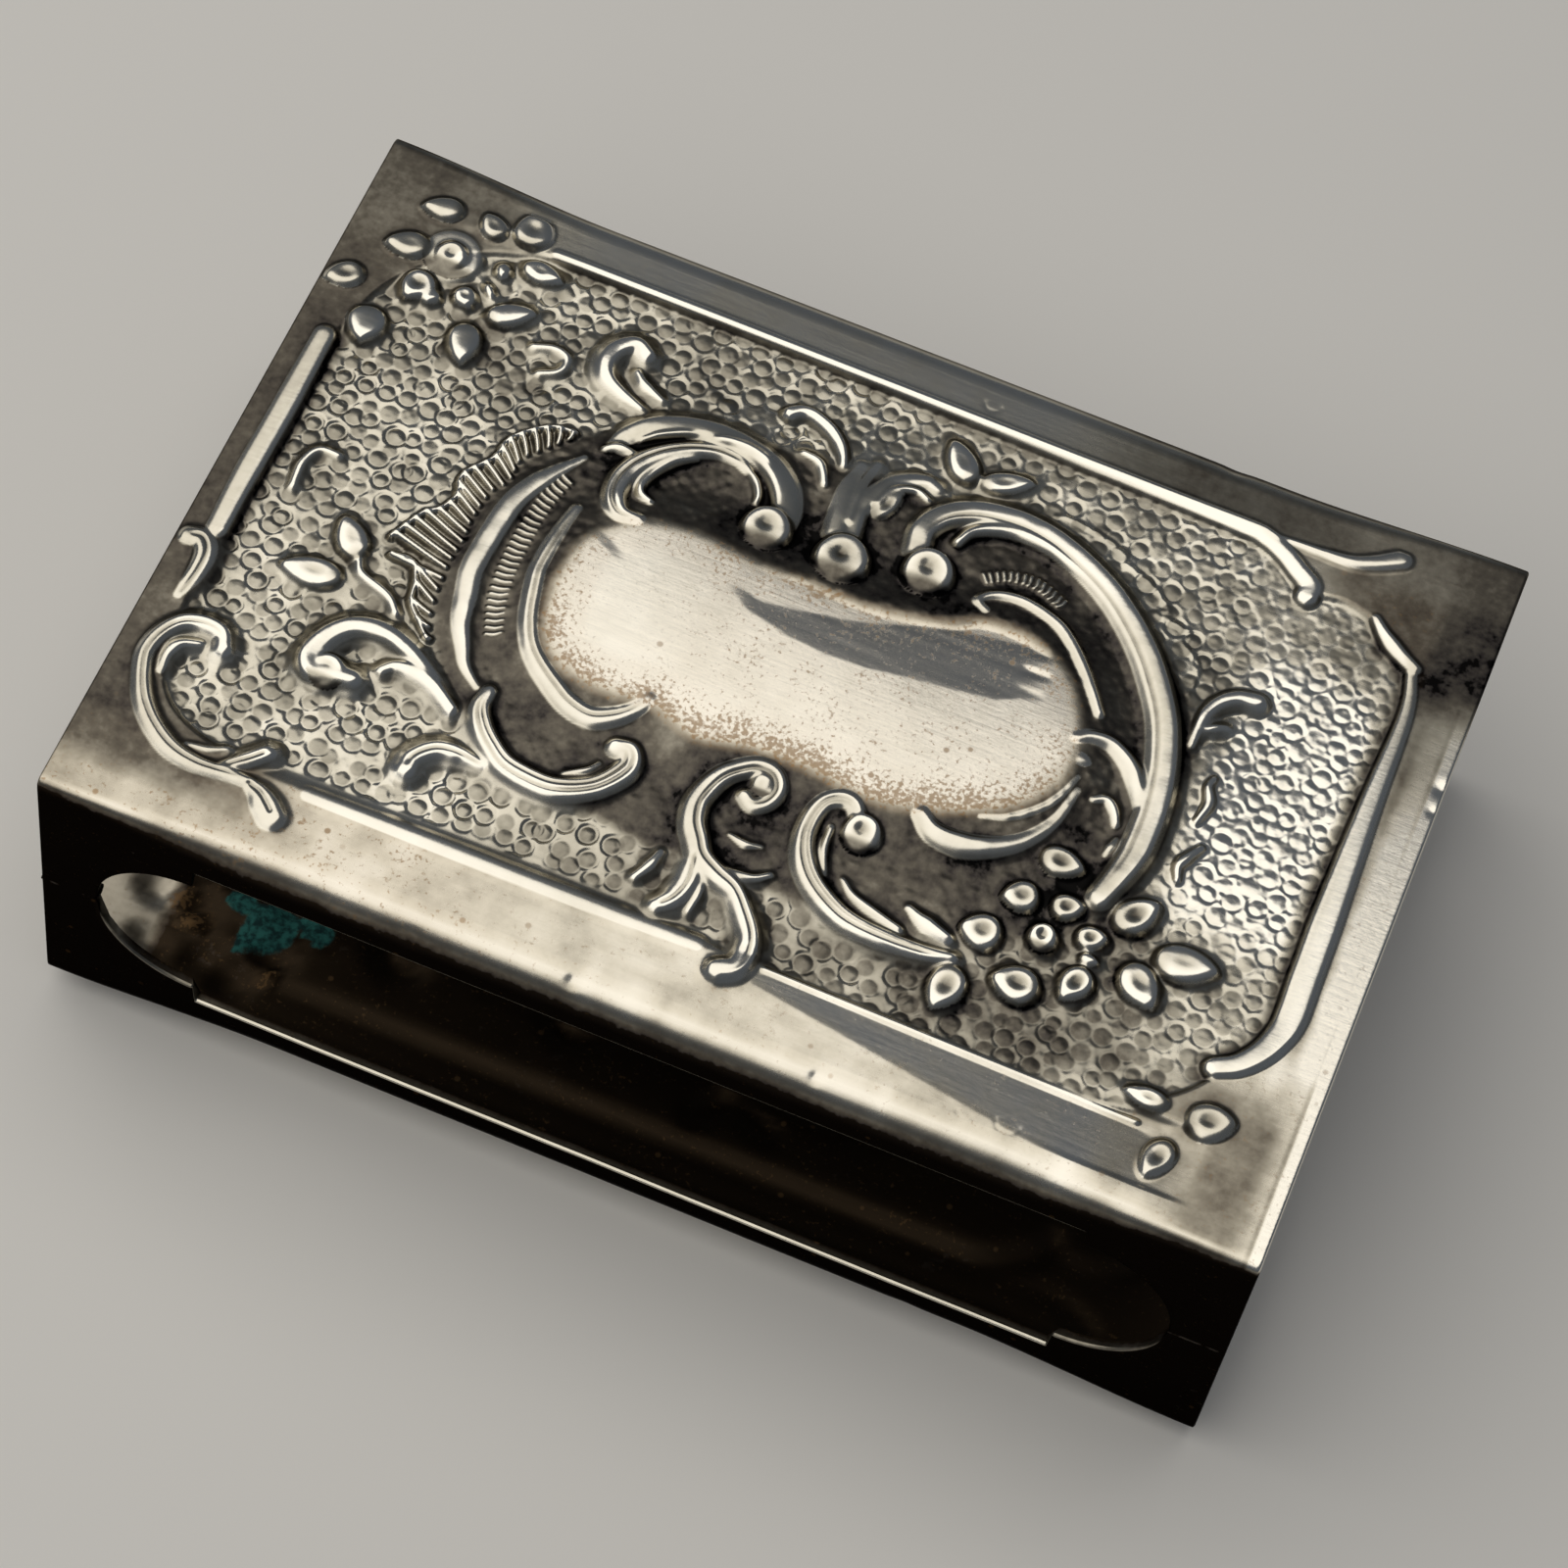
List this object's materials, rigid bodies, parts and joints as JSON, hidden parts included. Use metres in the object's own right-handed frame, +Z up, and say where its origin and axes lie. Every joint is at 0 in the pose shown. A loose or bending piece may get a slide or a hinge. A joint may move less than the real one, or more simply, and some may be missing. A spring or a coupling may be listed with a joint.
{
  "type": "matchbox case",
  "caption": "Open-ended silver sleeve that slides over a matchbox, with scrolls and flowers struck in its broad faces and long stepped striker slots in its sides.",
  "frame": {"origin": "under the middle of the case, on the surface that it stands on", "axes": "+X along the case from the left open end to the right one, +Y across it from the front slot to the back slot, +Z up through the two panels"},
  "size_m": [0.058, 0.0396, 0.02],
  "materials": {
    "silver": "struck sterling silver, polished on the high points and tarnished brown to black in the hollows",
    "solder": "hard silver solder, dull grey"
  },
  "bodies": {
    "root": {"upper_shell": "silver", "lower_shell": "silver", "solder_seam_front_left": "solder", "solder_seam_front_right": "solder", "solder_seam_back_left": "solder", "solder_seam_back_right": "solder"}
  },
  "joints": []
}
